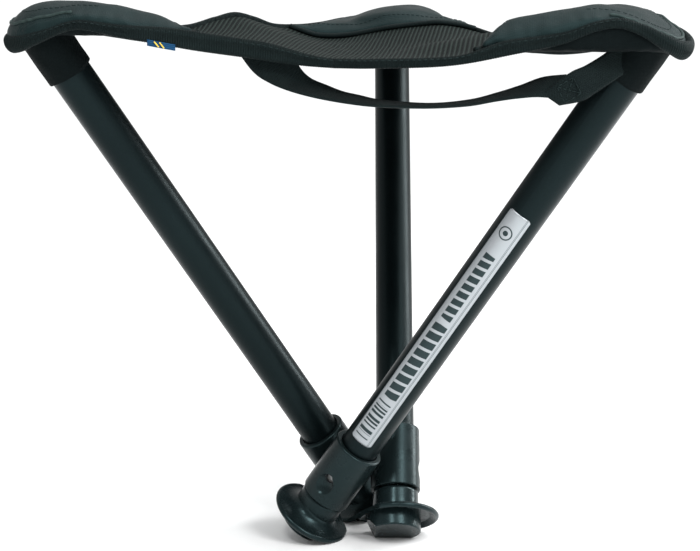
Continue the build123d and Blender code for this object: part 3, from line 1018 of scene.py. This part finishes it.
# One edge point and the other edge point of each row: x, y, z, x, y, z.
STRAP_ROWS = [
    (-56, -112, 265, -23, -112, 262), (-45.5, -114, 252, -20, -113, 255.2),
    (-36, -117, 246.3, -14.5, -110, 249), (-24.5, -119, 242.2, -6, -105, 244.7),
    (-9, -121, 238.6, 2, -100.5, 241.2), (8, -122, 236.0, 11, -98, 239),
    (24, -121, 234.6, 24, -96.5, 236.2), (50, -119.5, 234.2, 50, -95, 234.6),
    (72, -119.3, 235.6, 72, -94.8, 236.9),
    (87, -119, 238.2, 87, -95, 241), (99, -118, 239.8, 99.5, -97, 245.4),
    (109, -114.5, 240.4, 111.5, -102, 250.2), (119, -110, 239.4, 124.5, -108.8, 252.4),
]
TAB_ROWS = [
    (160, -103.5, 256, 153, -103.5, 270), (150, -106, 249, 143, -106, 262.5),
    (141, -108.5, 243, 134, -108.5, 257), (133, -110.8, 238.2, 126, -110.8, 253.2),
    (121, -111.6, 235.6, 111.5, -111.2, 242.0),
]


def strap_end_stitches():
    """A crossed square of stitches that holds the strap's end to the tab."""
    centre_x, face_y, centre_z, half = 126, -112.3, 244, 5
    box = [(-half, -half), (half, -half), (half, half), (-half, half)]
    seams = [(box[0], box[2]), (box[1], box[3])] + [(box[k], box[(k + 1) % 4]) for k in range(4)]
    parts = []
    for one, two in seams:
        one, two = np.array(one, float), np.array(two, float)
        count = max(3, int(np.linalg.norm(two - one) / 2.6))
        for k in range(count):
            u, v = (one + (two - one) * np.array([[k + 0.1], [k + 0.5], [k + 0.85]]) / count).T
            x = centre_x + u * 0.85 - v * 0.45
            z = centre_z + u * 0.53 + v * 0.85
            parts.append(tube_along(np.stack([x, np.full(3, face_y), z], 1), 0.3, 6))
    stitches = piece("strap_end_stitches", *join(parts), THREAD)
    return stitches


def strap_pieces():
    points, faces, uv, length = ribbon(STRAP_ROWS, 1.7, 190)
    strap = turned_right(piece("carry_strap_webbing", points, faces, uv, WEBBING))
    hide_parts("carry_strap")
    points, faces, uv, tab_length = ribbon(TAB_ROWS, 2.0, 70)
    tab = turned_right(piece("strap_tab_webbing", points, faces, uv, WEBBING))
    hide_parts("strap_tab")
    stitches = strap_end_stitches()
    for made in (strap, tab, stitches):
        follow(made)


def tag_piece():
    """Small woven tag sewn under the front tape."""
    rows, columns = 9, 19
    half_long, half_high, thick = 7.8, 1.7, 0.5
    middle, height, slope = -95, 266.3, -0.17
    u = np.linspace(-half_long, half_long, columns)
    uu, vv = np.meshgrid(u, np.linspace(-half_high, half_high, rows))
    y = -EDGE_AT - 0.75 - 0.35 * np.cos(uu / 3.1) - 0.12 * (half_high - vv) / 3
    front = np.stack([middle + uu, y, height + vv + slope * uu], 2).reshape(-1, 3)
    back = front + np.array([0, thick, 0])
    uv = np.concatenate([np.stack([uu, vv], 2).reshape(-1, 2)] * 2)
    f = Finish("woven_tag", (0.004, 0.034, 0.090), 0.6, specular=0.2)
    f.mottle(f.wave(300, "Y", "UV"), (0.008, 0.055, 0.140))
    f.bump(f.wave(900, "X", "UV"), 0.00008)
    both_sides = np.concatenate([front, back])
    tag = turned_right(piece("front_tag", both_sides, shell_faces(rows, columns), uv, f.material))
    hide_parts("side_tag")
    follow(tag)
    # two slanting stripes of a lighter thread, side by side
    parts = []
    for start in (-2.4, 0.6):
        across = start + np.linspace(-1.3, 1.3, 8)
        fall = np.linspace(1.35, -1.35, 8)
        path = np.stack([middle + across, np.full(8, -EDGE_AT - 1.45), height + fall + slope * across], 1)
        parts.append(tube_along(path, 0.38, 6))
    stripes = piece("front_tag_stripes", *join(parts), thread("tag_thread", (0.50, 0.36, 0.05)))
    follow(stripes)


# ---- label on the right leg
def label_piece():
    start, out, up = leg_axes("right")
    side = np.cross(up, out)
    low, high = 34.0, 212.0                             # along the leg from its pivot
    first, last = math.radians(-28.5), math.radians(44.5)
    arc = TUBE_R * (last - first)
    round_off, lift, film = 1.6, 0.16, 0.13
    rows, columns = 150, 26
    points, uv = [], []
    for i in range(rows):
        s = low + (high - low) * i / (rows - 1)
        near = min(s - low, high - s)
        cut = round_off - math.sqrt(max(0, round_off ** 2 - max(0, round_off - near) ** 2))
        for j in range(columns):
            across = cut + (arc - 2 * cut) * j / (columns - 1)
            a = first + across / TUBE_R
            ray = out * math.cos(a) + side * math.sin(a)
            points.append(start + up * s + ray * (TUBE_R + lift))
            uv.append((across, s - low))
    outer = np.array(points)
    from_axis = outer - start
    from_axis = from_axis - np.outer(from_axis @ up, up)
    inner = outer - from_axis * (film / (TUBE_R + lift))
    both_sides = np.concatenate([outer, inner])
    label = piece("leg_label", both_sides, shell_faces(rows, columns), uv * 2, label_print())
    turned_right(label)
    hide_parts("tube_label")
    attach(label, "right_leg")


# ---- build the seat
for corner in CORNERS:
    binding_tape(corner)
    tape_stitches(corner)
    mesh_sector(corner)
    pad = corner_pad(corner)
    pocket_cuff(corner)
    trims = pad_trim(corner, pad)
    follow(pad)
    for trim in trims:
        follow(trim)
strap_pieces()
tag_piece()
label_piece()


# ---- floor, light, camera
def floor():
    mesh = bpy.data.meshes.new("floor")
    far = 400.0             # metres, so that the floor reaches the horizon
    mesh.from_pydata([(-far, -far, 0), (far, -far, 0), (far, far, 0), (-far, far, 0)], [], [(0, 1, 2, 3)])
    f = Finish("pale_floor", (0.86, 0.86, 0.86), 0.6)
    f.mottle(f.noise(3, 2), (0.88, 0.88, 0.88))
    mesh.materials.append(f.material)
    made = placed("floor", mesh)


def aim(made, direction):
    made.rotation_euler = Vector(direction).to_track_quat("-Z", "Y").to_euler()


def soft_light(name, place, target, size, power):
    """Rectangle light: place and target in metres, power in watts."""
    data = bpy.data.lights.new(name, "AREA")
    data.shape, data.energy = "RECTANGLE", power
    data.size, data.size_y = size
    made = placed(name, data)
    made.location = place
    aim(made, Vector(target) - Vector(place))


def studio():
    world = bpy.data.worlds.new("studio")
    bpy.context.scene.world = world
    world.use_nodes = True
    background = world.node_tree.nodes["Background"]
    background.inputs["Color"].default_value = (1, 1, 1, 1)
    background.inputs["Strength"].default_value = 0.54
    sun = bpy.data.lights.new("high_light", "SUN")
    sun.energy, sun.angle = 2.6, math.radians(70)
    aim(placed("high_light", sun), (-0.30, -0.05, -1.0))
    soft_light("key", (0.95, -0.98, 1.10), (0, 0, 0.10), (0.6, 0.6), 18)
    soft_light("edge", (1.4, 0.7, 0.8), (0, 0, 0.15), (0.35, 1.2), 22)
    soft_light("front_top", (-0.15, -1.0, 1.25), (0, 0, 0.05), (0.25, 0.15), 6)
    bpy.context.scene.view_settings.view_transform = "Standard"


def camera():
    data = bpy.data.cameras.new("camera")
    made = placed("camera", data)
    # the stool's front edge is turned away from the view's by this angle
    turn = math.radians(7.015)
    pitch, roll = math.radians(9.26), math.radians(-0.286)
    place = np.array([-5.6, -1070.9, 296.7])            # before the turn, from the hub
    spin = np.array([[math.cos(turn), -math.sin(turn), 0], [math.sin(turn), math.cos(turn), 0], [0, 0, 1]])
    forward = spin @ np.array([0, math.cos(pitch), -math.sin(pitch)])
    level = spin @ np.array([1.0, 0, 0])
    upright = np.cross(level, forward)
    right = level * math.cos(roll) - upright * math.sin(roll)
    up = upright * math.cos(roll) + level * math.sin(roll)
    matrix = Matrix(np.stack([right, up, -forward], 1).tolist()).to_4x4()
    matrix.translation = Vector(put(spin @ place))
    made.matrix_world = matrix
    data.sensor_width = 36
    data.lens = 90.2
    data.clip_start, data.clip_end = 0.05, 2000
    bpy.context.scene.camera = made


floor()
studio()
camera()
